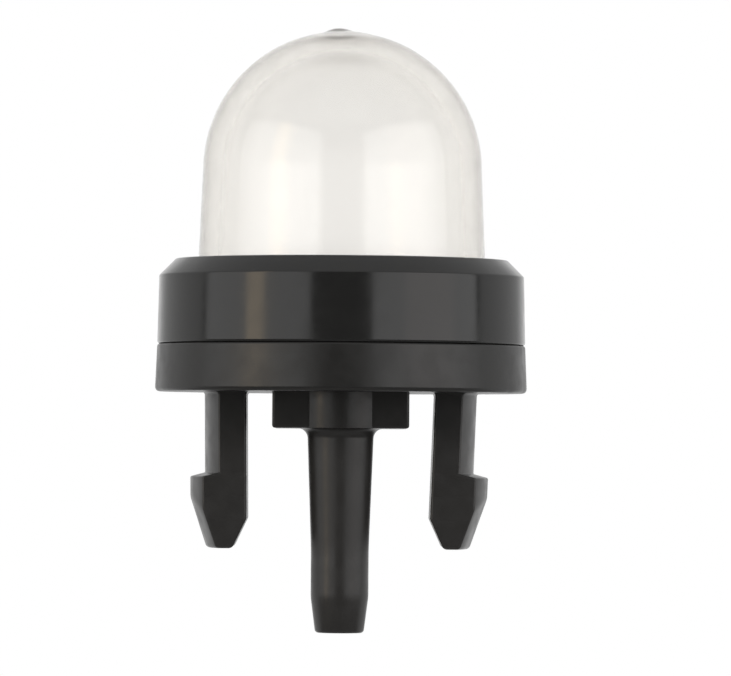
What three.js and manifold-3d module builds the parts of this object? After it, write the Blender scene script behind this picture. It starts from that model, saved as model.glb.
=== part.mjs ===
// A snap-in primer bulb: the hand pump that draws fuel to the carburettor of a small engine.
// Millimetres, +Z up. The origin is the centre of the flange's underside, where the housing wall ends.
// The two snap legs lie along X and the two hose nipples along Y.

import * as THREE from "three";
import { mergeVertices } from "three/addons/utils/BufferGeometryUtils.js";
import Module from "manifold-3d";

const wasm = await Module();
wasm.setup();

// Flange of the base, the disc that lies on the housing wall
const FLANGE_THICKNESS = 2.82;
const FLANGE_DRAFT = 2.4; // degrees, widest at the underside
const FLANGE_EDGE_ROUND = 0.25;

// Spigot on the flange, which carries the bulb and takes the ring
const SPIGOT_WALL = 1.55;
const SPIGOT_LEAD = 0.25; // chamfer that lets the ring slide on
const FLOOR_THICKNESS = 1.6; // from the flange's underside to the floor of the pump chamber
const BEAD_PROUD = 0.2; // snap bead that holds the ring
const BEAD_HEIGHT = 0.9;

// Retaining ring
const RING_HEIGHT = 5.03;
const RING_WALL = 1.25; // beside the spigot, at the seam
const RING_DRAFT = 1.3; // degrees, widest at the seam
const RING_CHAMFER = 0.98;
const RING_TOP_WALL = 1.35; // lip that holds down the bulb's foot
const RING_CLEARANCE = 0.08; // round the spigot, the bead and the bulb's foot
const RING_TOP_BREAK = 0.12; // broken edge of the lip round the bulb
const SEAM_BREAK = 0.1; // broken edges that make the seam's groove

// Bulb
const DOME_RADIUS = 8.25;
const DOME_STANDOUT = 13.53; // from the ring's top to the top of the dome
const BULB_DRAFT = 2.4; // degrees, widest at the foot
const BULB_WALL = 1.2;
const BULB_FOOT = 1.5; // thickness of the foot clamped between spigot and ring
const FOOT_WIDTH = 1.02; // how far the foot stands out from the bulb's wall
const BULB_CLEARANCE = 0.06; // in the ring's opening
const GATE_RADIUS = 0.7; // stub that the mould's gate left
const GATE_PROUD = 0.17;
const GATE_OFFSET = -0.25;
const DIMPLE_RADIUS = 2; // shallow ring round the gate where the wall has sunk
const DIMPLE_DEPTH = 0.06;
const DIMPLE_WIDTH = 0.5;

// Nipples, block and ports
const NIPPLE_SPACING = 7.3;
const NIPPLE_LENGTH = 14.1; // from the flange's underside to the tip
const NIPPLE_ROOT_RADIUS = 1.95;
const NIPPLE_RADIUS = 1.69; // where the hose seats
const NIPPLE_TIP_RADIUS = 1.42;
const NIPPLE_SEAT = 2.8; // straight length that the hose seats on
const NIPPLE_POINT = 2.1; // length of the tapered tip
const NIPPLE_TIP_ROUND = 0.22;
const NIPPLE_ROOT_FILLET = 0.6;
const BORE_RADIUS = 0.9;
const BLOCK_WIDTH = 8;
const BLOCK_LENGTH = 11;
const BLOCK_DEPTH = 2.13;
const BOSS_STEP = 0.05; // flat of the boss round the nipple's root fillet

// Snap legs
const LEG_RADIUS = 8.05; // outer face, an arc about the pump's axis
const LEG_THICKNESS = 2.5; // at the leg's middle, from the outer arc to the flat inner face
const LEG_WIDTH = 7.38;
const LEG_LENGTH = 9.2;
const LEG_ROOT_FILLET = 0.4;
const LATCH_DEPTH = 4.77; // from the flange's underside to the latch, which sets the wall that it grips
const LATCH_SLOPE = 15; // degrees
const BARB_PROUD = 0.87;
const BARB_LAND = 1.2; // upright height of the barb
const LEAD_IN_SLOPE = 17.5; // degrees from upright
const LEAD_IN_CURVE = 12; // radius in plan, flatter than the barb above it
const TIP_CHAMFER_WIDTH = 0.85; // on the inner side of the leg's end
const TIP_CHAMFER_HEIGHT = 1.75;
const TIP_ROUND = 0.2;
const LEFT_LEAN = 0.6; // degrees inward, as the moulding has warped
const RIGHT_LEAN = 2.1;

// Check valve and its pocket
const PORT_OVERLAP = 0.3; // how far the pocket breaks into the outlet bore
const PORT_WALL = 0.6; // between the pocket and the inlet bore
const POCKET_FLOOR = 0.7; // wall left under the pocket
const PLUG_CLEARANCE = 0.05;
const PLUG_LENGTH = 1;
const SEAL_LAND = 0.6; // how far the skirt reaches past the inlet port
const SKIRT_RIM = 0.35; // thickness at the rim
const SKIRT_ROOT = 0.8; // thickness beside the hub
const SKIRT_RECESS = 0.2; // hollow under the skirt
const HUB_RADIUS = 1.5;
const HUB_RISE = 0.35;
const VALVE_BORE = 0.75;
const BILL_CLEARANCE = 0.35; // under the duckbill
const BILL_SHOULDER = 0.5; // step from the plug in to the duckbill
const LIP_WIDTH = 2.6;
const LIP_THICKNESS = 0.5;
const SLIT_THICKNESS = 0.08; // the passage where it ends between the lips

const ROUND_SEGMENTS = 72;
const SMALL_SEGMENTS = 32;
const JOIN = 0.5; // how deep a part of the moulding reaches into the next
const MERGE_DISTANCE = 1e-4;

const ringTop = FLANGE_THICKNESS + RING_HEIGHT;
const footTop = ringTop - RING_TOP_WALL;
const spigotTop = footTop - BULB_FOOT;
const domeCentre = ringTop + DOME_STANDOUT - DOME_RADIUS;
const spigotRadius = bulbRadius(footTop) + FOOT_WIDTH;
const seamRadius = spigotRadius + RING_CLEARANCE + RING_WALL;
const flangeRadius = seamRadius + FLANGE_THICKNESS * tan(FLANGE_DRAFT);
const bossRadius = NIPPLE_ROOT_RADIUS + NIPPLE_ROOT_FILLET + BOSS_STEP;
const legInner = LEG_RADIUS - LEG_THICKNESS;
const barbRadius = LEG_RADIUS + BARB_PROUD;
const latchEdge = -LATCH_DEPTH - BARB_PROUD * tan(LATCH_SLOPE);
const portOffset = NIPPLE_SPACING / 2;
const pocketRadius = (NIPPLE_SPACING - 2 * BORE_RADIUS + PORT_OVERLAP - PORT_WALL) / 2;
const pocketCentre = pocketRadius - (portOffset - BORE_RADIUS + PORT_OVERLAP);
const pocketBottom = POCKET_FLOOR - BLOCK_DEPTH;

function tan(degrees) {
  return Math.tan(THREE.MathUtils.degToRad(degrees));
}

// The bulb's outer radius at a height below the dome.
function bulbRadius(z) {
  return DOME_RADIUS + (domeCentre - z) * tan(BULB_DRAFT);
}

// Points [r, z] along an arc, both ends included; angles are in degrees from the outward direction.
function arc(centreR, centreZ, radius, from, to, steps) {
  return Array.from({ length: steps + 1 }, (_, i) => {
    const angle = THREE.MathUtils.degToRad(from + ((to - from) * i) / steps);
    return [centreR + radius * Math.cos(angle), centreZ + radius * Math.sin(angle)];
  });
}

// A body of revolution about Z. Its outline runs anticlockwise, with r to the right and z up.
function turned(outline, segments = ROUND_SEGMENTS) {
  const points = outline.map(([r, z]) => new THREE.Vector2(r, z));
  if (outline[0][0] > 0) points.push(points[0].clone());
  return new THREE.LatheGeometry(points, segments).rotateX(Math.PI / 2);
}

// A closed body through rings of equal point count, listed from the top down.
function lofted(rings) {
  const count = rings[0].length;
  const positions = rings.flat(2);
  const faces = [];
  for (let level = 0; level + 1 < rings.length; level += 1) {
    for (let i = 0; i < count; i += 1) {
      const [a, b] = [level * count + i, level * count + ((i + 1) % count)];
      faces.push(a, a + count, b, b, a + count, b + count);
    }
  }
  const last = (rings.length - 1) * count;
  for (let i = 1; i + 1 < count; i += 1) {
    faces.push(0, i, i + 1, last, last + i + 1, last + i);
  }
  const geometry = new THREE.BufferGeometry();
  geometry.setAttribute("position", new THREE.Float32BufferAttribute(positions, 3));
  return geometry.setIndex(faces);
}

// An oval ring of points at one height.
function oval(halfX, halfY, z) {
  return Array.from({ length: SMALL_SEGMENTS }, (_, i) => {
    const angle = (2 * Math.PI * i) / SMALL_SEGMENTS;
    return [halfX * Math.cos(angle), halfY * Math.sin(angle), z];
  });
}

// A closed geometry as a solid that can be cut and joined.
function solid(geometry) {
  const bare = new THREE.BufferGeometry();
  bare.setAttribute("position", geometry.getAttribute("position"));
  bare.setIndex(geometry.getIndex());
  const merged = mergeVertices(bare, MERGE_DISTANCE);
  const index = merged.getIndex().array;
  const triangles = [];
  for (let i = 0; i < index.length; i += 3) {
    const [a, b, c] = index.slice(i, i + 3);
    if (a !== b && b !== c && c !== a) triangles.push(a, b, c);
  }
  return new wasm.Manifold(
    new wasm.Mesh({
      numProp: 3,
      vertProperties: new Float32Array(merged.getAttribute("position").array),
      triVerts: new Uint32Array(triangles),
    }),
  );
}

// A solid as a mesh of the assembly.
function piece(name, body, material) {
  const result = body.getMesh();
  const geometry = new THREE.BufferGeometry();
  geometry.setAttribute("position", new THREE.BufferAttribute(new Float32Array(result.vertProperties), 3));
  geometry.setIndex(new THREE.BufferAttribute(new Uint32Array(result.triVerts), 1));
  geometry.computeVertexNormals();
  const mesh = new THREE.Mesh(geometry, material);
  mesh.name = name;
  return mesh;
}

// The snap bead's outline on a wall, from its lower edge up; the groove in the ring takes the same one.
function beadOutline(wallRadius) {
  const start = (FLANGE_THICKNESS + spigotTop - BEAD_HEIGHT) / 2;
  return [
    [wallRadius, start],
    [wallRadius + BEAD_PROUD, start + BEAD_HEIGHT / 3],
    [wallRadius + BEAD_PROUD, start + BEAD_HEIGHT / 2],
    [wallRadius, start + BEAD_HEIGHT],
  ];
}

function flangeAndSpigot() {
  const chamber = spigotRadius - SPIGOT_WALL;
  return turned([
    [0, 0],
    ...arc(flangeRadius - FLANGE_EDGE_ROUND, FLANGE_EDGE_ROUND, FLANGE_EDGE_ROUND, -90, 0, 3),
    [seamRadius, FLANGE_THICKNESS - SEAM_BREAK],
    [seamRadius - SEAM_BREAK, FLANGE_THICKNESS],
    [spigotRadius, FLANGE_THICKNESS],
    ...beadOutline(spigotRadius),
    [spigotRadius, spigotTop - SPIGOT_LEAD],
    [spigotRadius - SPIGOT_LEAD, spigotTop],
    [chamber, spigotTop],
    [chamber, FLOOR_THICKNESS],
    [0, FLOOR_THICKNESS],
  ]);
}

function block() {
  const height = BLOCK_DEPTH + JOIN;
  const box = new THREE.BoxGeometry(BLOCK_WIDTH, BLOCK_LENGTH, height);
  return box.translate(0, 0, JOIN - height / 2);
}

// A nipple on its own axis, with the boss that carries it.
function nipple() {
  const fillet = NIPPLE_ROOT_FILLET;
  const seatEnd = NIPPLE_POINT - NIPPLE_LENGTH;
  return turned(
    [
      [0, -NIPPLE_LENGTH],
      ...arc(
        NIPPLE_TIP_RADIUS - NIPPLE_TIP_ROUND,
        NIPPLE_TIP_ROUND - NIPPLE_LENGTH,
        NIPPLE_TIP_ROUND,
        -90,
        0,
        3,
      ),
      [NIPPLE_RADIUS, seatEnd],
      [NIPPLE_RADIUS, seatEnd + NIPPLE_SEAT],
      ...arc(NIPPLE_ROOT_RADIUS + fillet, -BLOCK_DEPTH - fillet, fillet, 180, 90, 4),
      [bossRadius, -BLOCK_DEPTH],
      [bossRadius, JOIN],
      [0, JOIN],
    ],
    SMALL_SEGMENTS,
  );
}

function rod(radius, bottom, top, segments = SMALL_SEGMENTS) {
  return turned([[0, bottom], [radius, bottom], [radius, top], [0, top]], segments);
}

// The legs' outer side turned about the pump's axis: the barb, its sloping latch and the root fillet.
function legEnvelope() {
  return turned([
    [0, -LEG_LENGTH],
    [barbRadius, -LEG_LENGTH],
    [barbRadius, latchEdge],
    [LEG_RADIUS, -LATCH_DEPTH],
    ...arc(LEG_RADIUS + LEG_ROOT_FILLET, -LEG_ROOT_FILLET, LEG_ROOT_FILLET, 180, 90, 3),
    [LEG_RADIUS + LEG_ROOT_FILLET, JOIN],
    [0, JOIN],
  ]);
}

// The lead-in that eases the barb through the hole, a flatter cone than the barb's own arc.
function leadIn() {
  const landBottom = latchEdge - BARB_LAND;
  const tipRadius = LEAD_IN_CURVE - (LEG_LENGTH + landBottom) * tan(LEAD_IN_SLOPE);
  return turned([
    [0, -LEG_LENGTH],
    ...arc(tipRadius - TIP_ROUND, TIP_ROUND - LEG_LENGTH, TIP_ROUND, -90, 0, 2),
    [LEAD_IN_CURVE, landBottom],
    [LEAD_IN_CURVE, JOIN],
    [0, JOIN],
  ]).translate(barbRadius - LEAD_IN_CURVE, 0, 0);
}

// What the leg at +X is cut down to: its width, flat inner face and inner chamfer.
function legPrism() {
  const outer = barbRadius + JOIN;
  const fillet = LEG_ROOT_FILLET;
  const outline = [
    [legInner + TIP_CHAMFER_WIDTH + TIP_ROUND, -LEG_LENGTH],
    [outer, -LEG_LENGTH],
    [outer, JOIN],
    [legInner - fillet, JOIN],
    ...arc(legInner - fillet, -fillet, fillet, 90, 0, 3),
    [legInner, TIP_CHAMFER_HEIGHT - LEG_LENGTH],
    [legInner + TIP_CHAMFER_WIDTH, TIP_ROUND - LEG_LENGTH],
  ];
  const shape = new THREE.Shape(outline.map(([x, z]) => new THREE.Vector2(x, z)));
  const prism = new THREE.ExtrudeGeometry(shape, { depth: LEG_WIDTH, bevelEnabled: false });
  return prism.rotateX(Math.PI / 2).translate(0, LEG_WIDTH / 2, 0);
}

// A leg that leans inward from its root; turn is the way round that it stands on the flange.
function leg(lean, turn) {
  const shear = new THREE.Matrix4().makeShear(0, 0, 0, 0, tan(lean), 0);
  return solid(legEnvelope())
    .intersect(solid(leadIn()))
    .intersect(solid(legPrism()))
    .transform(shear.elements)
    .rotate([0, 0, turn]);
}

function base() {
  const outlet = rod(BORE_RADIUS, -NIPPLE_LENGTH - JOIN, 0).translate(0, -portOffset, 0);
  const inlet = rod(BORE_RADIUS, -NIPPLE_LENGTH - JOIN, FLOOR_THICKNESS + JOIN).translate(0, portOffset, 0);
  const pocket = rod(pocketRadius, pocketBottom, FLOOR_THICKNESS + JOIN).translate(0, pocketCentre, 0);
  return solid(flangeAndSpigot())
    .add(solid(block()))
    .add(solid(nipple().translate(0, -portOffset, 0)))
    .add(solid(nipple().translate(0, portOffset, 0)))
    .add(leg(RIGHT_LEAN, 0))
    .add(leg(LEFT_LEAN, 180))
    .subtract(solid(outlet))
    .subtract(solid(inlet))
    .subtract(solid(pocket));
}

function retainingRing() {
  const sideTop = ringTop - RING_CHAMFER;
  const sideRadius = seamRadius - (sideTop - FLANGE_THICKNESS) * tan(RING_DRAFT);
  const inner = spigotRadius + RING_CLEARANCE;
  const opening = bulbRadius(footTop) + BULB_CLEARANCE;
  return solid(
    turned([
      [inner, FLANGE_THICKNESS],
      [seamRadius - SEAM_BREAK, FLANGE_THICKNESS],
      [seamRadius, FLANGE_THICKNESS + SEAM_BREAK],
      [sideRadius, sideTop],
      [sideRadius - RING_CHAMFER, ringTop],
      [opening + RING_TOP_BREAK, ringTop],
      [opening, ringTop - RING_TOP_BREAK],
      [opening, footTop],
      [inner, footTop],
      ...beadOutline(inner).reverse(),
    ]),
  );
}

// The dome's outer half-outline, which sinks a little in a ring round the gate.
function domeOutline(steps) {
  return arc(0, domeCentre, DOME_RADIUS, 0, 90, steps).map(([r, z]) => {
    const fromRing = (r - DIMPLE_RADIUS) / DIMPLE_WIDTH;
    return [r < MERGE_DISTANCE ? 0 : r, z - DIMPLE_DEPTH * Math.exp(-fromRing * fromRing)];
  });
}

function bulb() {
  const wall = BULB_WALL;
  const inside = arc(0, domeCentre, DOME_RADIUS - wall, 90, 0, 10);
  inside[0][0] = 0;
  const shell = turned([
    ...inside,
    [bulbRadius(spigotTop) - wall, spigotTop],
    [spigotRadius, spigotTop],
    [spigotRadius, footTop],
    [bulbRadius(footTop), footTop],
    ...domeOutline(18),
  ]);
  const gateTop = domeCentre + DOME_RADIUS + GATE_PROUD;
  const gate = rod(GATE_RADIUS, gateTop - BULB_WALL / 2, gateTop, SMALL_SEGMENTS / 2);
  return solid(shell).add(solid(gate.translate(GATE_OFFSET, 0, 0)));
}

// Umbrella, hub and plug of the valve, moulded in one with the duckbill under them.
function valveBody(plugRadius, plugBottom) {
  const skirt = portOffset + BORE_RADIUS + SEAL_LAND - pocketCentre;
  const hubTop = FLOOR_THICKNESS + SKIRT_ROOT + HUB_RISE;
  return turned(
    [
      [0, plugBottom],
      [plugRadius, plugBottom],
      [plugRadius, FLOOR_THICKNESS + SKIRT_RECESS],
      [skirt - SEAL_LAND - SKIRT_RECESS, FLOOR_THICKNESS + SKIRT_RECESS],
      [skirt - SEAL_LAND / 2, FLOOR_THICKNESS],
      [skirt, FLOOR_THICKNESS],
      [skirt, FLOOR_THICKNESS + SKIRT_RIM],
      [HUB_RADIUS + HUB_RISE, FLOOR_THICKNESS + SKIRT_ROOT],
      [HUB_RADIUS, hubTop],
      [0, hubTop],
    ],
    SMALL_SEGMENTS,
  );
}

function checkValve() {
  const plugRadius = pocketRadius - PLUG_CLEARANCE;
  const plugBottom = FLOOR_THICKNESS - PLUG_LENGTH;
  const billTop = plugRadius - BILL_SHOULDER;
  const lipBottom = pocketBottom + BILL_CLEARANCE;
  const slitEnd = lipBottom + LIP_THICKNESS / 2;
  const hubTop = FLOOR_THICKNESS + SKIRT_ROOT + HUB_RISE;
  const bill = lofted([
    oval(billTop, billTop, plugBottom + PLUG_LENGTH / 2),
    oval(billTop, billTop, plugBottom),
    oval(LIP_WIDTH / 2, LIP_THICKNESS / 2, lipBottom),
  ]);
  const passage = lofted([
    oval(VALVE_BORE, VALVE_BORE, hubTop + JOIN),
    oval(VALVE_BORE, VALVE_BORE, plugBottom),
    oval(VALVE_BORE, SLIT_THICKNESS / 2, slitEnd),
  ]);
  return solid(valveBody(plugRadius, plugBottom))
    .add(solid(bill))
    .subtract(solid(passage))
    .translate([0, pocketCentre, 0]);
}

const blackNylon = () => new THREE.MeshStandardMaterial({ color: 0x2b2a28, roughness: 0.4, metalness: 0 });
const clearUrethane = () =>
  new THREE.MeshStandardMaterial({
    color: 0xf3f0ec,
    roughness: 0.08,
    metalness: 0,
    transparent: true,
    opacity: 0.3,
  });
const nitrileRubber = () => new THREE.MeshStandardMaterial({ color: 0x232221, roughness: 0.7, metalness: 0 });

const primerBulb = new THREE.Group();
primerBulb.add(
  piece("base", base(), blackNylon()),
  piece("retaining_ring", retainingRing(), blackNylon()),
  piece("bulb", bulb(), clearUrethane()),
  piece("check_valve", checkValve(), nitrileRubber()),
);

export default primerBulb;
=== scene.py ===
# %% [markdown]
# # A snap-in primer bulb
#
# A primer bulb is a thumb pump of about 36 mm that draws fuel to the carburettor of a small engine.
# A clear dome is pressed and let go. A rubber valve under it lets fuel in through one hose nipple
# and out through the other. A ring clamps the dome to a black base, and two legs snap the base into
# a hole in the machine's housing.
#
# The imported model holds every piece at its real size, with flat facets. This lesson makes each
# piece again from the same dimensions, with smooth surfaces and finely rounded edges, and then
# gives it its finish.

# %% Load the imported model
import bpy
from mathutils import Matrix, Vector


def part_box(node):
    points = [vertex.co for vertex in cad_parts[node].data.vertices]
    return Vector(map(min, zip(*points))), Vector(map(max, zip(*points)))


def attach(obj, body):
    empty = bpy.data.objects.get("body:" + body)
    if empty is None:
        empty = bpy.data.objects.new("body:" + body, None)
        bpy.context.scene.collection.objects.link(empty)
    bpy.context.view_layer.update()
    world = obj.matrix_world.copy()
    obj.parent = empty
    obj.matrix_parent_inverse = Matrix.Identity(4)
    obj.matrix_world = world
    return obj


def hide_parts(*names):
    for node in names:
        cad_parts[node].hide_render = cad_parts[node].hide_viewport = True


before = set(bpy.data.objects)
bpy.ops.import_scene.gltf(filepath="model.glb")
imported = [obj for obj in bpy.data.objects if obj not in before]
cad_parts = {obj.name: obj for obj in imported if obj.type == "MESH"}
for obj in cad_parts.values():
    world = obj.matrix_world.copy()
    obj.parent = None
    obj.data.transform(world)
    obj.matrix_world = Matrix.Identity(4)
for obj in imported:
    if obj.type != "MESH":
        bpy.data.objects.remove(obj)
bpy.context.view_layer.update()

# %% [markdown]
# ## The camera
#
# The picture looks taken with a long lens from nearly level, a little under the flange, so the top
# of the ring can't be seen. A long lens keeps upright edges upright, which suits a product picture.
# The camera could be placed by eye, but three measures give it directly: how far away the eye is,
# how high it is, and how many pixels wide a thing as wide as its distance would be.

# %% Camera
import math

import bpy
from mathutils import Matrix, Vector

MM = 0.001
IMAGE_WIDTH, IMAGE_HEIGHT = 731, 676
EYE_DISTANCE = 384 * MM
EYE_HEIGHT = -3.4 * MM
FOCAL_LENGTH_PIXELS = 6493
AXIS_PIXEL = (340.5, 450)  # where the pump's axis stands at eye level
PICTURE_ROLL = 0.4  # degrees that the pump leans clockwise in the picture
SENSOR_WIDTH = 36  # millimetres


def look_along(direction, roll=0):
    """A rotation that looks along a direction with the picture upright, then rolled by some degrees."""
    turn = direction.to_track_quat("-Z", "Y").to_matrix().to_4x4()
    return turn @ Matrix.Rotation(math.radians(roll), 4, "Z")


camera = bpy.data.objects.new("camera", bpy.data.cameras.new("camera"))
camera.data.sensor_width = SENSOR_WIDTH
camera.data.lens = FOCAL_LENGTH_PIXELS * SENSOR_WIDTH / IMAGE_WIDTH
to_axis = Vector((AXIS_PIXEL[0] - IMAGE_WIDTH / 2, IMAGE_HEIGHT / 2 - AXIS_PIXEL[1]))
to_axis.rotate(Matrix.Rotation(math.radians(PICTURE_ROLL), 2))
aim = Vector((-to_axis.x, FOCAL_LENGTH_PIXELS, -to_axis.y))
camera.matrix_world = Matrix.Translation((0, -EYE_DISTANCE, EYE_HEIGHT)) @ look_along(aim, PICTURE_ROLL)
bpy.context.scene.collection.objects.link(camera)
bpy.context.scene.camera = camera
print("lens:", round(camera.data.lens, 1), "mm")

# %% [markdown]
# ## Nodes and colours
#
# Every finish below is a small tree of nodes. One helper adds a node, sets its values and links
# its inputs, so that a tree reads from top to bottom. Colours are written as they look on a
# screen, and one function turns them into the linear light that the renderer counts in.

# %% Node and colour helpers
def add(tree, kind, inputs=None, **settings):
    """Adds a node. Inputs are set to a value or linked to another node's output."""
    node = tree.nodes.new(kind)
    for name, value in settings.items():
        setattr(node, name, value)
    for socket, value in (inputs or {}).items():
        if isinstance(value, bpy.types.NodeSocket):
            tree.links.new(value, node.inputs[socket])
        else:
            node.inputs[socket].default_value = value
    return node


def linear(hex_colour):
    """An sRGB colour such as #808080 as linear red, green, blue and alpha."""
    channels = [int(hex_colour[i : i + 2], 16) / 255 for i in (1, 3, 5)]
    return [c / 12.92 if c <= 0.04045 else ((c + 0.055) / 1.055) ** 2.4 for c in channels] + [1]


print("mid grey, linear:", round(linear("#808080")[0], 3))

# %% [markdown]
# ## The studio
#
# The picture's background is pure white. What else stood round the pump isn't seen, only guessed
# from the black plastic's reflections: they would fit a tall softbox on each side of the camera,
# a dark room between them and a dim ceiling. Their brightness was matched to the picture.
# Black gloss shows little but its surroundings, so these are worth building. The world holds the
# white backdrop, the dark side and the ceiling, as a plain function of direction. Rays from the
# camera see plain white all round, and so do those that went through the clear dome. That is no
# real room, but it keeps the dome as pale as in the picture. All other rays meet the studio.

# %% World
DARK_SIDE = 0.1
CEILING = 0.55
CEILING_FROM = (0.55, 0.62)  # how steeply up, as the direction's height from 0 to 1
BACKDROP_SIDE = 0.64  # the backdrop's brightness beside the pump, where it turns away
BACKDROP_FROM = (0.11, 0.14)  # how far behind the pump, as the direction's depth from 0 to 1
BACKDROP_FULL = (0.8, 0.98)
TABLE = 0.25
TABLE_FROM = (-0.4, -0.6)  # how steeply down

world = bpy.data.worlds.new("studio")
world.use_nodes = True
world.node_tree.nodes.clear()
bpy.context.scene.world = world


def step_up(tree, value, limits, low, high):
    """Goes smoothly from low to high as value passes the two limits."""
    inputs = {"Value": value, "From Min": limits[0], "From Max": limits[1], "To Min": low, "To Max": high}
    return add(tree, "ShaderNodeMapRange", inputs, interpolation_type="SMOOTHSTEP").outputs["Result"]


def build_world(tree):
    direction = add(tree, "ShaderNodeTexCoord").outputs["Generated"]
    axes = add(tree, "ShaderNodeSeparateXYZ", {0: direction})
    room = step_up(tree, axes.outputs["Y"], BACKDROP_FROM, DARK_SIDE, BACKDROP_SIDE)
    room = step_up(tree, axes.outputs["Y"], BACKDROP_FULL, room, 1.0)
    room = step_up(tree, axes.outputs["Z"], CEILING_FROM, room, CEILING)
    room = step_up(tree, axes.outputs["Z"], TABLE_FROM, room, TABLE)
    rays = add(tree, "ShaderNodeLightPath")
    plain = add(tree, "ShaderNodeMath", {
        0: rays.outputs["Is Camera Ray"],
        1: rays.outputs["Is Transmission Ray"],
    }, operation="MAXIMUM")
    strength = add(tree, "ShaderNodeMix", {"Factor": plain.outputs[0], "A": room, "B": 1.0})
    light = add(tree, "ShaderNodeBackground", {
        "Color": (1, 1, 1, 1),
        "Strength": strength.outputs["Result"],
    })
    add(tree, "ShaderNodeOutputWorld", {"Surface": light.outputs[0]})


build_world(world.node_tree)
print("world nodes:", len(world.node_tree.nodes))

# %% [markdown]
# Each softbox is an area lamp, turned to face the pump. Its light is given as radiance, the
# brightness that its reflection has, because that is what the black ring shows. A lamp's power is
# then that radiance times pi times its area. The picture has a narrow warm band in the left half
# of the ring and a wider faint one in the right. A smaller warm lamp on each side draws them.

# %% Lamps
SOFTBOX_DISTANCE, TUBE_DISTANCE = 0.5, 0.49
SOFTBOX_EDGES = (19, 93)  # degrees from the camera's direction
SOFTBOX_TOP = 35  # degrees above level, at the softbox's middle
SOFTBOX_BOTTOM = -0.05


def softbox(name, side, edges, distance, radiance, colour="#FFFFFF"):
    """An upright lamp that faces the pump from the right, side 1, or the left, side -1."""
    azimuth = side * sum(edges) / 2
    width = 2 * distance * math.tan(math.radians(edges[1] - edges[0]) / 2)
    top = distance * math.tan(math.radians(SOFTBOX_TOP))
    height = top - SOFTBOX_BOTTOM
    data = bpy.data.lights.new(name, "AREA")
    data.shape = "RECTANGLE"
    data.size = width
    data.size_y = height
    data.color = linear(colour)[:3]
    data.energy = radiance * math.pi * width * height
    lamp = bpy.data.objects.new(name, data)
    angle = math.radians(azimuth)
    away = Vector((math.sin(angle), -math.cos(angle), 0))
    place = away * distance + Vector((0, 0, (SOFTBOX_BOTTOM + top) / 2))
    lamp.matrix_world = Matrix.Translation(place) @ look_along(-away)
    lamp.visible_camera = False
    bpy.context.scene.collection.objects.link(lamp)
    print(name, "is", round(width, 3), "by", round(height, 3), "m")


LEFT_RADIANCE, RIGHT_RADIANCE = 1.12, 1.28
LEFT_TUBE_EDGES, LEFT_TUBE_RADIANCE = (49, 61), 1.5
RIGHT_TUBE_EDGES, RIGHT_TUBE_RADIANCE = (40, 74), 0.25

softbox("left_softbox", -1, SOFTBOX_EDGES, SOFTBOX_DISTANCE, LEFT_RADIANCE)
softbox("right_softbox", 1, SOFTBOX_EDGES, SOFTBOX_DISTANCE, RIGHT_RADIANCE)
softbox("left_tube", -1, LEFT_TUBE_EDGES, TUBE_DISTANCE, LEFT_TUBE_RADIANCE, "#FFDFAB")
softbox("right_tube", 1, RIGHT_TUBE_EDGES, TUBE_DISTANCE, RIGHT_TUBE_RADIANCE, "#FFE6DC")

# %% [markdown]
# ## The floor
#
# The pump hangs in its housing by its legs, so nothing of it stands on the floor. The floor is a
# pale disc some way under it, which takes its shadow. Towards its rim it turns into the same white
# as the background, by its distance from the middle, so that no edge shows.

# %% Floor
import bmesh

FLOOR_HEIGHT = -30 * MM
FLOOR_RADIUS = 0.3
FLOOR_SEGMENTS = 128
FLOOR_FADE = (0.12, 0.29)  # metres from the middle between which it turns white
PAPER_GRAIN = 2 * MM
PAPER_ROUGHNESS = 0.05 * MM


def paint_floor(material):
    tree = material.node_tree
    tree.nodes.clear()
    place = add(tree, "ShaderNodeTexCoord").outputs["Object"]
    from_middle = add(tree, "ShaderNodeVectorMath", {0: place}, operation="LENGTH").outputs["Value"]
    fade = step_up(tree, from_middle, FLOOR_FADE, 0.0, 1.0)
    rays = add(tree, "ShaderNodeLightPath")
    share = add(tree, "ShaderNodeMath", {
        0: fade,
        1: rays.outputs["Is Camera Ray"],
    }, operation="MULTIPLY")
    grain = add(tree, "ShaderNodeTexNoise", {"Vector": place, "Scale": 1 / PAPER_GRAIN, "Detail": 4.0})
    bump = add(tree, "ShaderNodeBump", {
        "Height": grain.outputs["Fac"],
        "Strength": 0.05,
        "Distance": PAPER_ROUGHNESS,
    })
    paper = add(tree, "ShaderNodeBsdfDiffuse", {"Color": linear("#F7F6F4"), "Normal": bump.outputs[0]})
    white = add(tree, "ShaderNodeEmission", {"Color": (1, 1, 1, 1), "Strength": 1.0})
    surface = add(tree, "ShaderNodeMixShader", {
        0: share.outputs[0],
        1: paper.outputs[0],
        2: white.outputs[0],
    })
    add(tree, "ShaderNodeOutputMaterial", {"Surface": surface.outputs[0]})


def make_floor():
    disc = bmesh.new()
    bmesh.ops.create_circle(disc, cap_ends=True, segments=FLOOR_SEGMENTS, radius=FLOOR_RADIUS)
    mesh = bpy.data.meshes.new("floor")
    disc.to_mesh(mesh)
    disc.free()
    floor = bpy.data.objects.new("floor", mesh)
    floor.location.z = FLOOR_HEIGHT
    bpy.context.scene.collection.objects.link(floor)
    material = bpy.data.materials.new("white_paper")
    material.use_nodes = True
    paint_floor(material)
    mesh.materials.append(material)
    floor.visible_glossy = False  # the studio is what the black gloss mirrors
    return floor


print("floor radius:", make_floor().dimensions.x / 2, "m")

# %% [markdown]
# ## Turned bodies
#
# Most of the pump is round about an upright axis: ring, flange, dome, nipples and valve. Such a
# form is a half-outline swept round. A cylinder with bevels would come near, but an outline keeps
# each real dimension in sight. Moulded edges are never quite sharp, so each corner of an outline
# carries its own small radius, and a helper turns the corner into an arc.

# %% Outline helpers
TURN_SEGMENTS = 240
ON_AXIS = 1e-6
CORNER_STEPS = 4


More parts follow.
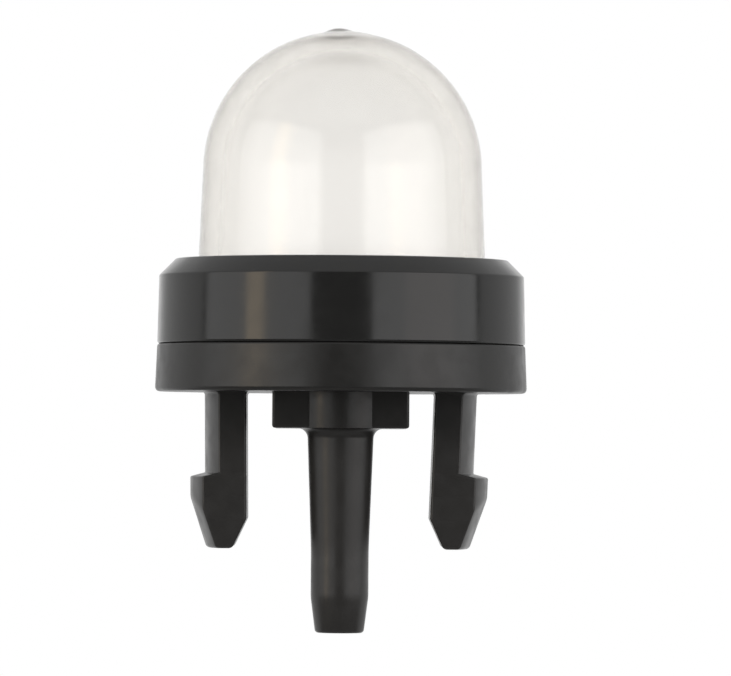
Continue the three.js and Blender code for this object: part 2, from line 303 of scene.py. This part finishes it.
def tan(degrees):
    return math.tan(math.radians(degrees))


def arc(centre_r, centre_z, radius, start, end, steps):
    """Points along an arc; angles are in degrees from the outward direction."""
    angles = [math.radians(start + (end - start) * i / steps) for i in range(steps + 1)]
    return [(centre_r + radius * math.cos(a), centre_z + radius * math.sin(a)) for a in angles]


def rounded(corners, steps=CORNER_STEPS):
    """A closed outline whose corners (u, v, radius) become arcs; a corner without a radius stays sharp."""
    points = []
    for i, corner in enumerate(corners):
        here = Vector(corner[:2])
        radius = corner[2] if len(corner) > 2 else 0
        if not radius:
            points.append(tuple(here))
            continue
        back = (Vector(corners[i - 1][:2]) - here).normalized()
        onward = (Vector(corners[(i + 1) % len(corners)][:2]) - here).normalized()
        half = back.angle(onward) / 2
        centre = here + (back + onward).normalized() * radius / math.sin(half)
        first = math.atan2(*reversed(here + back * radius / math.tan(half) - centre))
        last = math.atan2(*reversed(here + onward * radius / math.tan(half) - centre))
        sweep = (last - first + math.pi) % (2 * math.pi) - math.pi
        for step in range(steps + 1):
            angle = first + sweep * step / steps
            points.append((centre.x + radius * math.cos(angle), centre.y + radius * math.sin(angle)))
    return points


# %% Mesh helpers
SMOOTH_LIMIT = math.radians(32)


def finished(name, shape):
    """The drawn shape, in millimetres, as a smooth object in metres."""
    bmesh.ops.remove_doubles(shape, verts=shape.verts, dist=ON_AXIS)
    bmesh.ops.recalc_face_normals(shape, faces=shape.faces)
    bmesh.ops.scale(shape, vec=(MM, MM, MM), verts=shape.verts)
    mesh = bpy.data.meshes.new(name)
    shape.to_mesh(mesh)
    shape.free()
    piece = bpy.data.objects.new(name, mesh)
    bpy.context.scene.collection.objects.link(piece)
    return piece


def bridge(shape, rings):
    """Faces between each ring of corners and the next; a ring of one corner is a pole."""
    for lower, upper in zip(rings, rings[1:]):
        for i in range(max(len(lower), len(upper))):
            after = i + 1
            corners = (lower[i % len(lower)], lower[after % len(lower)],
                       upper[after % len(upper)], upper[i % len(upper)])
            unique = list(dict.fromkeys(corners))
            if len(unique) > 2:
                shape.faces.new(unique)


def turned(name, outline, segments=TURN_SEGMENTS, centre_y=0):
    """A closed body of revolution. Its outline is closed, or starts and ends on the axis."""
    shape = bmesh.new()
    rings = []
    for radius, height in outline:
        count = segments if radius > ON_AXIS else 1
        turn = 2 * math.pi / count
        rings.append([
            shape.verts.new((radius * math.cos(i * turn), centre_y + radius * math.sin(i * turn), height))
            for i in range(count)
        ])
    if outline[0][0] > ON_AXIS:
        rings.append(rings[0])
    bridge(shape, rings)
    return finished(name, shape)


def smoothed(piece):
    """Shades the piece smooth up to its true edges, with flat faces kept flat."""
    piece.data.shade_smooth()
    piece.data.set_sharp_from_angle(angle=SMOOTH_LIMIT)
    weighted = piece.modifiers.new("flat faces stay flat", "WEIGHTED_NORMAL")
    weighted.keep_sharp = True
    print(piece.name, [round(v / MM, 2) for v in piece.dimensions], "mm,", len(piece.data.polygons), "faces")
    return piece


# %% [markdown]
# ## The sizes
#
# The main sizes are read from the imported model, so that each piece fills the same space as its
# solid. The rest are in millimetres. Walls and clearances can't be seen, so they are guessed at
# what suits such mouldings. The seam's edges, the legs' fillets and the gate differ a little from
# the solids, because they were matched to the picture.

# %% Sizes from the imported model
def low(node):
    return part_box(node)[0] / MM


def high(node):
    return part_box(node)[1] / MM


flange_radius = high("base").x
nipple_tip = low("base").z
seam = low("retaining_ring").z
seam_radius = high("retaining_ring").x
ring_top = high("retaining_ring").z
spigot_top = low("bulb").z
foot_radius = high("bulb").x
gate_top = high("bulb").z
print("seam at", round(seam, 2), "ring top at", round(ring_top, 2), "dome top at", round(gate_top, 2))

# %% [markdown]
# ## The retaining ring
#
# The black ring clamps the dome's foot down. It is a plain turned form with a chamfered shoulder
# and a slight draft, so that it leaves its mould. Inside it has a lip over the foot and a groove
# for the snap bead of the base.

# %% Retaining ring
RING_DRAFT = 1.3  # degrees
RING_CHAMFER = 0.98
RING_LIP = 1.35
RING_CLEARANCE = 0.08
RING_EDGE = 0.16  # radius of the chamfer's edges
SEAM_BREAK = 0.16  # radius of the two edges that make the seam's groove
FOOT_WIDTH = 1.02
BULB_CLEARANCE = 0.06
BEAD_PROUD = 0.2
BEAD_HEIGHT = 0.9

foot_top = ring_top - RING_LIP
spigot_radius = foot_radius


def bead(wall):
    """The snap bead on a wall, or the groove that takes it, from its lower edge up."""
    start = (seam + spigot_top - BEAD_HEIGHT) / 2
    return [
        (wall, start),
        (wall + BEAD_PROUD, start + BEAD_HEIGHT / 3),
        (wall + BEAD_PROUD, start + BEAD_HEIGHT / 2),
        (wall, start + BEAD_HEIGHT),
    ]


def ring_outline():
    shoulder = ring_top - RING_CHAMFER
    side = seam_radius - (shoulder - seam) * tan(RING_DRAFT)
    inner = spigot_radius + RING_CLEARANCE
    opening = foot_radius - FOOT_WIDTH + BULB_CLEARANCE
    return rounded([
        (inner, seam),
        (seam_radius, seam, SEAM_BREAK),
        (side, shoulder, RING_EDGE),
        (side - RING_CHAMFER, ring_top, RING_EDGE),
        (opening, ring_top, RING_EDGE),
        (opening, foot_top),
        (inner, foot_top),
        *reversed(bead(inner)),
    ])


ring = smoothed(turned("ring", ring_outline()))

# %% [markdown]
# ## Joining and cutting
#
# The base is one moulding of many simple forms: a flange with its spigot, a block, two nipples and
# two legs. Each is easy to make by itself. They are then joined into one closed skin, and the
# passages are cut through it, in the way that the steel cores of the mould leave them open.

# %% Join and cut
def combined(body, others, operation):
    """The body joined with the others, or with the others cut away from it."""
    for other in others:
        step = body.modifiers.new(other.name, "BOOLEAN")
        step.operation = operation
        step.solver = "MANIFOLD"
        step.object = other
    whole = body.evaluated_get(bpy.context.evaluated_depsgraph_get())
    mesh = bpy.data.meshes.new_from_object(whole)
    body.modifiers.clear()
    body.data = mesh
    for other in others:
        bpy.data.objects.remove(other)
    return body


# %% Flange and spigot
FLANGE_EDGE = 0.25
SPIGOT_WALL = 1.55
SPIGOT_LEAD = 0.25
CHAMBER_FLOOR = 1.6
INNER_EDGE = 0.12


def flange_outline():
    chamber = spigot_radius - SPIGOT_WALL
    return rounded([
        (0, 0),
        (flange_radius, 0, FLANGE_EDGE),
        (seam_radius, seam, SEAM_BREAK),
        (spigot_radius, seam),
        *bead(spigot_radius),
        (spigot_radius, spigot_top - SPIGOT_LEAD),
        (spigot_radius - SPIGOT_LEAD, spigot_top),
        (chamber, spigot_top, INNER_EDGE),
        (chamber, CHAMBER_FLOOR, INNER_EDGE),
        (0, CHAMBER_FLOOR),
    ])


base = turned("base", flange_outline())
print("flange:", round(2 * flange_radius, 2), "mm across")

# %% [markdown]
# The block under the flange carries the nipples. Its edges are rounded a little, and its upper
# part reaches into the flange, so that the two join without a gap.

# %% Block
JOIN = 0.5  # how deep a form reaches into the next
BLOCK_WIDTH, BLOCK_LENGTH, BLOCK_DEPTH = 8, 11, 2.13
BLOCK_EDGE = 0.16
EDGE_SEGMENTS = 3


def make_block():
    height = BLOCK_DEPTH + JOIN
    shape = bmesh.new()
    bmesh.ops.create_cube(shape, size=1)
    bmesh.ops.scale(shape, vec=(BLOCK_WIDTH, BLOCK_LENGTH, height), verts=shape.verts)
    bmesh.ops.translate(shape, vec=(0, 0, JOIN - height / 2), verts=shape.verts)
    bmesh.ops.bevel(shape, geom=shape.edges[:], offset=BLOCK_EDGE, segments=EDGE_SEGMENTS,
                    profile=0.5, affect="EDGES")
    return finished("block", shape)


# %% [markdown]
# A nipple takes a fuel hose. It tapers from its root to the seat where the hose grips, and again
# to a blunt tip that the hose slides over. A fillet spreads its root on a round boss.

# %% Nipples
NIPPLE_SPACING = 7.3
NIPPLE_ROOT, NIPPLE_SEAT_RADIUS, NIPPLE_TIP_RADIUS = 1.95, 1.69, 1.42
NIPPLE_SEAT, NIPPLE_POINT = 2.8, 2.1
NIPPLE_TIP_EDGE = 0.22
NIPPLE_FILLET = 0.6
BOSS_STEP = 0.05
BORE_RADIUS = 0.9
NIPPLE_SEGMENTS = 96
POINT_BLEND, SEAT_BLEND = 4, 30  # radii where the nipple turns from tip to seat, and from seat to root
NIPPLE_STEPS = 8

outlet_y, inlet_y = -NIPPLE_SPACING / 2, NIPPLE_SPACING / 2


def make_nipple(name, y):
    seat_end = nipple_tip + NIPPLE_POINT
    boss = NIPPLE_ROOT + NIPPLE_FILLET + BOSS_STEP
    outline = rounded([
        (0, nipple_tip),
        (NIPPLE_TIP_RADIUS, nipple_tip, NIPPLE_TIP_EDGE),
        (NIPPLE_SEAT_RADIUS, seat_end, POINT_BLEND),
        (NIPPLE_SEAT_RADIUS, seat_end + NIPPLE_SEAT, SEAT_BLEND),
        (NIPPLE_ROOT, -BLOCK_DEPTH, NIPPLE_FILLET),
        (boss, -BLOCK_DEPTH, BOSS_STEP / 2),
        (boss, JOIN),
        (0, JOIN),
    ], steps=NIPPLE_STEPS)
    return turned(name, outline, NIPPLE_SEGMENTS, y)


# %% [markdown]
# ## A snap leg
#
# The legs are the hardest form of the base. A leg's outer face is an arc about the pump's axis,
# because it slides through a round hole. Near its end a barb stands out, with a sloping latch on
# top that grips the housing, and a lead-in under it that is flatter than the barb. The inner face
# is flat. Joining a cylinder, a cone and a box would give hard edges that are slow to round, so
# the leg is lofted: at each height one outline with rounded corners, and the outlines are bridged.

# %% Leg profiles
import numpy as np

LEG_RADIUS = 8.05
LEG_THICKNESS = 2.5
LEG_WIDTH = 7.38
LEG_LENGTH = 9.2
LEG_FILLET = 0.2
LATCH_DEPTH = 4.77
LATCH_SLOPE = 15  # degrees
BARB_PROUD = 0.87
BARB_LAND = 1.2
LEAD_IN_SLOPE = 17.5  # degrees from upright
LEAD_IN_CURVE = 12
TIP_CHAMFER_WIDTH, TIP_CHAMFER_HEIGHT = 0.85, 1.75
TIP_EDGE = 0.2
LEG_EDGE = 0.14
LATCH_ROOT_EDGE, LATCH_EDGE, CHAMFER_EDGE = 0.08, 0.12, 0.3

barb_radius = LEG_RADIUS + BARB_PROUD
leg_inner = LEG_RADIUS - LEG_THICKNESS
latch_edge = -LATCH_DEPTH - BARB_PROUD * tan(LATCH_SLOPE)
land_bottom = latch_edge - BARB_LAND

outer_profile = rounded([
    (LEG_RADIUS + LEG_FILLET, JOIN),
    (LEG_RADIUS + LEG_FILLET, 0),
    (LEG_RADIUS, 0, LEG_FILLET),
    (LEG_RADIUS, -LATCH_DEPTH, LATCH_ROOT_EDGE),
    (barb_radius, latch_edge, LATCH_EDGE),
    (barb_radius, -LEG_LENGTH),
])
inner_profile = rounded([
    (leg_inner - LEG_FILLET, JOIN),
    (leg_inner - LEG_FILLET, 0),
    (leg_inner, 0, LEG_FILLET),
    (leg_inner, TIP_CHAMFER_HEIGHT - LEG_LENGTH, CHAMFER_EDGE),
    (leg_inner + TIP_CHAMFER_WIDTH, -LEG_LENGTH),
])


def reach(profile, z):
    """How far from the axis a profile lies at a height."""
    points = sorted(profile, key=lambda point: point[1])
    return float(np.interp(z, [p[1] for p in points], [p[0] for p in points]))


print("barb radius", barb_radius, "latch from", -LATCH_DEPTH, "to", round(latch_edge, 2))

# %% Leg outlines
LEAD_IN_BLEND = 0.06  # softens the edge between barb and lead-in
ARC_STEPS = 16
FINE_FROM, FINE_TO, FINE_STEP = 0.1, -0.9, -0.05  # finer rows round the barb's lower edge
TIP_ROWS = 6


def outer_face(y, z):
    """Where the leg's outer face lies: the barb's or shank's arc, cut back by the lead-in."""
    barb = math.sqrt(reach(outer_profile, z) ** 2 - y * y)
    lead_radius = LEAD_IN_CURVE - (land_bottom - z) * tan(LEAD_IN_SLOPE)
    lead = barb_radius - LEAD_IN_CURVE + math.sqrt(lead_radius**2 - y * y)
    gap = abs(barb - lead)
    return min(barb, lead) - max(LEAD_IN_BLEND - gap, 0) ** 2 / (4 * LEAD_IN_BLEND)


def leg_outline(z, inset):
    """The leg's outline at a height, drawn in by the inset on every side."""
    half = LEG_WIDTH / 2 - inset
    inner = reach(inner_profile, z) + inset
    spread = [half * (1 - 2 * i / ARC_STEPS) for i in range(ARC_STEPS + 1)]
    outer = [(outer_face(y, z) - inset, y) for y in spread]
    corners = [(inner, half, LEG_EDGE)] + [(inner, -half, LEG_EDGE)]
    ends = {0: LEG_EDGE, ARC_STEPS: LEG_EDGE}
    rim = [(x, y, ends.get(i, 0)) for i, (x, y) in enumerate(outer)]
    return rounded(corners + rim[::-1])


def leg_heights():
    """Heights of the outlines with their insets, closest where the form turns."""
    heights = {round(z, 4) for _, z in outer_profile + inner_profile if z > TIP_EDGE - LEG_LENGTH}
    lead_in_rows = np.arange(land_bottom + FINE_FROM, land_bottom + FINE_TO, FINE_STEP)
    heights |= {round(float(z), 4) for z in lead_in_rows}
    rows = [(z, 0) for z in sorted(heights, reverse=True)]
    for angle in np.radians(np.linspace(0, 90, TIP_ROWS)):
        rows.append((TIP_EDGE * (1 - math.sin(angle)) - LEG_LENGTH, TIP_EDGE * (1 - math.cos(angle))))
    return rows


def lofted(name, outlines):
    """A closed body through outlines of equal count, given as lists of points in space."""
    shape = bmesh.new()
    rings = [[shape.verts.new(point) for point in outline] for outline in outlines]
    bridge(shape, rings)
    shape.faces.new(rings[0])
    shape.faces.new(rings[-1])
    return finished(name, shape)


# %% Legs that lean
LEFT_LEAN, RIGHT_LEAN = 0.6, 2.1  # degrees inward, as in the picture


def make_leg(name, lean, side):
    """A leg on the side +1 or -1 of the axis, sheared inward from its root."""
    outlines = [
        [(side * (x + z * tan(lean)), side * y, z) for x, y in leg_outline(z, inset)]
        for z, inset in leg_heights()
    ]
    return lofted(name, outlines)


forms = [
    make_block(),
    make_nipple("outlet_nipple", outlet_y),
    make_nipple("inlet_nipple", inlet_y),
    make_leg("right_leg", RIGHT_LEAN, 1),
    make_leg("left_leg", LEFT_LEAN, -1),
]
base = combined(base, forms, "UNION")
print("base joined:", len(base.data.polygons), "faces")

# %% [markdown]
# ## The passages
#
# The inlet bore runs right through to the chamber. The outlet bore is blind and opens into the
# pocket beside it, where the valve's duckbill hangs. Each is a rod that is cut away.

# %% Bores and pocket
PORT_OVERLAP = 0.3  # how far the pocket breaks into the outlet bore
PORT_WALL = 0.6  # between the pocket and the inlet bore
POCKET_FLOOR = 0.7
BORE_MOUTH = 0.12  # chamfer where a bore leaves its nipple

pocket_radius = (NIPPLE_SPACING - 2 * BORE_RADIUS + PORT_OVERLAP - PORT_WALL) / 2
pocket_y = pocket_radius - (NIPPLE_SPACING / 2 - BORE_RADIUS + PORT_OVERLAP)
pocket_bottom = POCKET_FLOOR - BLOCK_DEPTH


def make_bore(name, y, top):
    below = nipple_tip - JOIN
    mouth = BORE_RADIUS + BORE_MOUTH
    outline = [
        (0, below),
        (mouth + JOIN, below),
        (BORE_RADIUS, nipple_tip + BORE_MOUTH),
        (BORE_RADIUS, top),
        (0, top),
    ]
    return turned(name, outline, NIPPLE_SEGMENTS, y)


def make_pocket():
    top = CHAMBER_FLOOR + JOIN
    outline = [(0, pocket_bottom), (pocket_radius, pocket_bottom), (pocket_radius, top), (0, top)]
    return turned("pocket", outline, NIPPLE_SEGMENTS, pocket_y)


passages = [
    make_bore("outlet", outlet_y, 0),
    make_bore("inlet", inlet_y, CHAMBER_FLOOR + JOIN),
    make_pocket(),
]
base = smoothed(combined(base, passages, "DIFFERENCE"))

# %% [markdown]
# ## The bulb
#
# The dome is a soft clear moulding with a wall of a little over a millimetre. What it shows is
# bent through both of its faces, so it needs a real wall, with an inner face of its own. A single
# skin would look like a soap bubble. At the top is a small stub, such as a mould's gate leaves,
# with a faint hollow ring round it.

# %% Bulb sizes
DOME_RADIUS = 8.25
BULB_DRAFT = 2.4  # degrees, widest at the foot
BULB_WALL = 1.2
GATE_PROUD, GATE_OFFSET = 0.17, -0.25
GATE_TOP, GATE_FOOT = 0.15, 1.05  # the stub is drawn as a low mound between these radii
DIMPLE_RADIUS, DIMPLE_DEPTH, DIMPLE_WIDTH = 2, 0.02, 0.6
DOME_STEPS = 90
POLE_STEP = 0.06  # spacing of the finer rows that carry the gate

dome_centre = gate_top - GATE_PROUD - DOME_RADIUS


def bulb_radius(z):
    return DOME_RADIUS + (dome_centre - z) * tan(BULB_DRAFT)


def dome_height(radius):
    """The dome's outer face at a distance from the axis, with its faint hollow ring."""
    sunk = DIMPLE_DEPTH * math.exp(-(((radius - DIMPLE_RADIUS) / DIMPLE_WIDTH) ** 2))
    return dome_centre + math.sqrt(max(DOME_RADIUS**2 - radius**2, 0)) - sunk


print("dome centre at", round(dome_centre, 2), "mm, foot", round(bulb_radius(foot_top) + FOOT_WIDTH, 2))

# %% Bulb
def bulb_outline():
    """From the inner pole down the inside, round the foot and up to where the fine rows start."""
    inside = arc(0, dome_centre, DOME_RADIUS - BULB_WALL, 90, 0, DOME_STEPS)
    inside[0] = (0, inside[0][1])
    foot = rounded([
        (bulb_radius(spigot_top) - BULB_WALL, spigot_top, INNER_EDGE),
        (foot_radius, spigot_top, INNER_EDGE),
        (foot_radius, foot_top, INNER_EDGE),
        (bulb_radius(foot_top), foot_top, INNER_EDGE),
        (DOME_RADIUS, dome_centre),
    ])
    outside = [
        (radius, dome_height(radius))
        for radius, _ in arc(0, 0, DOME_RADIUS, 0, 90, DOME_STEPS)[1:]
        if radius > DIMPLE_RADIUS + 2 * DIMPLE_WIDTH
    ]
    rows = int((DIMPLE_RADIUS + 2 * DIMPLE_WIDTH) / POLE_STEP)
    pole = [(i * POLE_STEP, dome_height(i * POLE_STEP)) for i in range(rows, -1, -1)]
    return inside + foot + outside + pole


def raise_gate(piece):
    """Lifts the dome's top into the stub that the gate left, with a soft edge."""
    for corner in piece.data.vertices:
        x, y, z = corner.co / MM
        if z < dome_centre + DOME_RADIUS - BULB_WALL / 2:
            continue
        away = math.hypot(x - GATE_OFFSET, y)
        share = min(max((GATE_FOOT - away) / (GATE_FOOT - GATE_TOP), 0), 1)
        share = share * share * (3 - 2 * share)  # level at both ends
        corner.co.z = (z + (gate_top - z) * share) * MM


bulb = turned("dome", bulb_outline())
raise_gate(bulb)
smoothed(bulb)

# %% [markdown]
# ## The check valve
#
# One rubber moulding does the work of two valves. Its wide skirt lies over the inlet port and
# lifts to let fuel in. The duckbill under it opens to let fuel out. From above, the skirt shows
# through the dome.

# %% Check valve
PLUG_CLEARANCE, PLUG_LENGTH = 0.05, 1
SEAL_LAND = 0.6
SKIRT_RIM, SKIRT_ROOT, SKIRT_RECESS = 0.35, 0.8, 0.2
HUB_RADIUS, HUB_RISE = 1.5, 0.35
VALVE_BORE = 0.75
BILL_CLEARANCE, BILL_SHOULDER = 0.35, 0.5
LIP_WIDTH, LIP_THICKNESS, SLIT_THICKNESS = 2.6, 0.5, 0.08
RUBBER_EDGE, HUB_FILLET = 0.1, 0.3
OVAL_SEGMENTS = 64

plug_radius = pocket_radius - PLUG_CLEARANCE
plug_bottom = CHAMBER_FLOOR - PLUG_LENGTH
hub_top = CHAMBER_FLOOR + SKIRT_ROOT + HUB_RISE


def make_skirt():
    skirt = NIPPLE_SPACING / 2 + BORE_RADIUS + SEAL_LAND - pocket_y
    outline = rounded([
        (0, plug_bottom),
        (plug_radius, plug_bottom, RUBBER_EDGE),
        (plug_radius, CHAMBER_FLOOR + SKIRT_RECESS),
        (skirt - SEAL_LAND - SKIRT_RECESS, CHAMBER_FLOOR + SKIRT_RECESS, RUBBER_EDGE),
        (skirt - SEAL_LAND / 2, CHAMBER_FLOOR),
        (skirt, CHAMBER_FLOOR, RUBBER_EDGE),
        (skirt, CHAMBER_FLOOR + SKIRT_RIM, RUBBER_EDGE),
        (HUB_RADIUS + HUB_RISE, CHAMBER_FLOOR + SKIRT_ROOT, HUB_FILLET),
        (HUB_RADIUS, hub_top, RUBBER_EDGE),
        (0, hub_top),
    ])
    return turned("valve", outline, NIPPLE_SEGMENTS, pocket_y)


def oval(half_x, half_y, z):
    angles = [2 * math.pi * i / OVAL_SEGMENTS for i in range(OVAL_SEGMENTS)]
    return [(half_x * math.cos(a), pocket_y + half_y * math.sin(a), z) for a in angles]


def make_bill():
    top = plug_radius - BILL_SHOULDER
    return lofted("bill", [
        oval(top, top, plug_bottom + PLUG_LENGTH / 2),
        oval(top, top, plug_bottom),
        oval(LIP_WIDTH / 2, LIP_THICKNESS / 2, pocket_bottom + BILL_CLEARANCE),
    ])


def make_passage():
    slit_end = pocket_bottom + BILL_CLEARANCE + LIP_THICKNESS / 2
    return lofted("passage", [
        oval(VALVE_BORE, VALVE_BORE, hub_top + JOIN),
        oval(VALVE_BORE, VALVE_BORE, plug_bottom),
        oval(VALVE_BORE, SLIT_THICKNESS / 2, slit_end),
    ])


valve = combined(make_skirt(), [make_bill()], "UNION")
valve = smoothed(combined(valve, [make_passage()], "DIFFERENCE"))

# %% [markdown]
# ## Finishes
#
# Base and ring are taken to be glass-filled nylon, which stands fuel and heat. Injected black
# nylon has a low sheen: a dark body under a thin gloss that follows the mould's steel. The ring
# mirrors its surroundings with fairly crisp edges, as from a polished mould, and the base's sheen
# is softer. Each gets a fine grain in its height and its roughness, and patches of a millimetre
# or so, as glass fibres near the skin give. The legs and nipples are slightly greyer than the
# flange, so the colour turns greyer by height: painted light, which stands in for light from below.
# The cause isn't known, so the colour alone follows it by height.

# %% Glass-filled nylon
NYLON_IOR = 1.53
FIBRE_PATCH = 1.2  # mm, how far apart the skin's duller patches lie
MOULD_GRAIN = 0.15  # mm, drawn coarser than the real spark grain so that it shows
PATCH_RANGE = (0.3, 0.7)  # of the noise, between which a patch goes from smooth to rough
# Painted light: between these heights the nylon is drawn a lighter grey downwards, as if lit from below.
PAINTED_UNDERLIGHT_HEIGHTS = (-1.5, -4)  # mm of height between which the nylon turns greyer
PAINTED_UNDERLIGHT_GREY = "#2D2C2B"


def noise(tree, place, size, detail=3.0):
    """Noise whose spots lie about size millimetres apart."""
    return add(tree, "ShaderNodeTexNoise", {"Vector": place, "Scale": 1 / (size * MM), "Detail": detail})


def nylon(name, dark, light, smooth, rough, grain_depth):
    """Black glass-filled nylon: two near blacks, and a roughness between two values, by patches."""
    material = bpy.data.materials.new(name)
    material.use_nodes = True
    tree = material.node_tree
    tree.nodes.clear()
    place = add(tree, "ShaderNodeTexCoord").outputs["Object"]
    patches = noise(tree, place, FIBRE_PATCH).outputs["Fac"]
    grain = noise(tree, place, MOULD_GRAIN, 2.0).outputs["Fac"]
    colour = add(tree, "ShaderNodeMix", {"Factor": patches, "A": linear(dark), "B": linear(light)},
                 data_type="RGBA")
    # Painted light from below: lower down, on the legs and nipples, the colour turns the lighter grey.
    height = add(tree, "ShaderNodeSeparateXYZ", {0: place}).outputs["Z"]
    painted_underlight = step_up(tree, height, [limit * MM for limit in PAINTED_UNDERLIGHT_HEIGHTS], 0.0, 1.0)
    colour = add(tree, "ShaderNodeMix", {
        "Factor": painted_underlight,
        "A": colour.outputs["Result"],
        "B": linear(PAINTED_UNDERLIGHT_GREY),
    }, data_type="RGBA")
    roughness = step_up(tree, patches, PATCH_RANGE, smooth, rough)
    bump = add(tree, "ShaderNodeBump", {"Height": grain, "Strength": 1.0, "Distance": grain_depth * MM})
    surface = add(tree, "ShaderNodeBsdfPrincipled", {
        "Base Color": colour.outputs["Result"],
        "Roughness": roughness,
        "IOR": NYLON_IOR,
        "Normal": bump.outputs[0],
    })
    add(tree, "ShaderNodeOutputMaterial", {"Surface": surface.outputs[0]})
    return material


base_nylon = nylon("black_glass_filled_nylon", dark="#1E1E1D", light="#242322",
                   smooth=0.28, rough=0.38, grain_depth=0.0012)
ring_nylon = nylon("polished_black_nylon", dark="#1E1E1E", light="#222221",
                   smooth=0.14, rough=0.2, grain_depth=0.0004)
print("materials:", base_nylon.name, ring_nylon.name)

# %% [markdown]
# The dome is taken to be polyurethane, clear with a trace of warm grey. Light that crosses the
# wall squarely meets little of it, and light that runs along the wall at the dome's outline meets
# several millimetres, so the outline draws itself darker. That calls for absorption in the volume
# and not for a coloured surface. Its face is a little soft, and waves slightly where it cooled.
# Drawn perfectly clear, the dome came out nearly black at the gate, where the picture is pale. So
# it is drawn a little cloudy, and more so round the gate.
# The real plastic may not be: the two shares of light below were chosen for their look.

# %% Clear polyurethane
URETHANE_IOR = 1.5
URETHANE_TINT = "#F0DFB8"
URETHANE_DENSITY = 70  # per metre, at black; the tint lowers it
WALL_WAVE, WAVE_HEIGHT = 5, 0.02  # mm from wave to wave, and from hollow to crest
HAZE = (0.1, 0.15)  # roughness
CLOUDED, CLEAR = 0.72, 0.95  # share of the light that passes, at the gate and elsewhere
GATE_CLOUD = (1, 3.4)  # mm from the axis between which the cloud thins out


def clear_polyurethane():
    material = bpy.data.materials.new("clear_polyurethane")
    material.use_nodes = True
    tree = material.node_tree
    tree.nodes.clear()
    place = add(tree, "ShaderNodeTexCoord").outputs["Object"]
    wave = noise(tree, place, WALL_WAVE, 0.0).outputs["Fac"]
    haze = step_up(tree, noise(tree, place, FIBRE_PATCH).outputs["Fac"], PATCH_RANGE, *HAZE)
    bump = add(tree, "ShaderNodeBump", {"Height": wave, "Strength": 1.0, "Distance": WAVE_HEIGHT * MM})
    level = add(tree, "ShaderNodeVectorMath", {0: place, 1: (1, 1, 0)}, operation="MULTIPLY").outputs[0]
    from_axis = add(tree, "ShaderNodeVectorMath", {0: level}, operation="LENGTH").outputs["Value"]
    passes = step_up(tree, from_axis, [limit * MM for limit in GATE_CLOUD], CLOUDED, CLEAR)
    surface = add(tree, "ShaderNodeBsdfPrincipled", {
        "Base Color": linear("#FFFFFF"),
        "Transmission Weight": passes,
        "Roughness": haze,
        "IOR": URETHANE_IOR,
        "Normal": bump.outputs[0],
    })
    body = add(tree, "ShaderNodeVolumeAbsorption", {
        "Color": linear(URETHANE_TINT),
        "Density": URETHANE_DENSITY,
    })
    add(tree, "ShaderNodeOutputMaterial", {"Surface": surface.outputs[0], "Volume": body.outputs[0]})
    return material


urethane = clear_polyurethane()
print("urethane, density:", URETHANE_DENSITY)

# %% [markdown]
# The valve can't be seen in the picture. Nitrile rubber is usual for it, as fuel hardly swells it.
# Moulded rubber is black and dull, with a
# bloom that makes it a little greyer in patches.

# %% Nitrile rubber
RUBBER_IOR = 1.52
RUBBER_ROUGHNESS = (0.6, 0.75)
RUBBER_GRAIN_DEPTH = 0.003  # mm


def nitrile_rubber():
    material = bpy.data.materials.new("nitrile_rubber")
    material.use_nodes = True
    tree = material.node_tree
    tree.nodes.clear()
    place = add(tree, "ShaderNodeTexCoord").outputs["Object"]
    bloom = noise(tree, place, FIBRE_PATCH).outputs["Fac"]
    grain = noise(tree, place, MOULD_GRAIN, 2.0).outputs["Fac"]
    colour = add(tree, "ShaderNodeMix", {"Factor": bloom, "A": linear("#1E1D1C"), "B": linear("#2B2A29")},
                 data_type="RGBA")
    bump = add(tree, "ShaderNodeBump", {
        "Height": grain,
        "Strength": 1.0,
        "Distance": RUBBER_GRAIN_DEPTH * MM,
    })
    surface = add(tree, "ShaderNodeBsdfPrincipled", {
        "Base Color": colour.outputs["Result"],
        "Roughness": step_up(tree, bloom, PATCH_RANGE, *RUBBER_ROUGHNESS),
        "IOR": RUBBER_IOR,
        "Normal": bump.outputs[0],
    })
    add(tree, "ShaderNodeOutputMaterial", {"Surface": surface.outputs[0]})
    return material


# %% [markdown]
# ## Dressing the model
#
# Each fine piece now stands for its solid, rides on the pump's one body and takes its finish.

# %% Dress the pieces
def dress(piece, node, material):
    piece.data.materials.clear()
    piece.data.materials.append(material)
    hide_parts(node)
    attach(piece, "root")
    print(piece.name, "stands for", node, "in", material.name)


dress(base, "base", base_nylon)
dress(ring, "retaining_ring", ring_nylon)
dress(bulb, "bulb", urethane)
dress(valve, "check_valve", nitrile_rubber())

# %% [markdown]
# ## The view transform
#
# The fine pieces have to fill the same box as the solids. Colours are shown through the standard view
# transform.

bpy.context.scene.view_settings.view_transform = "Standard"
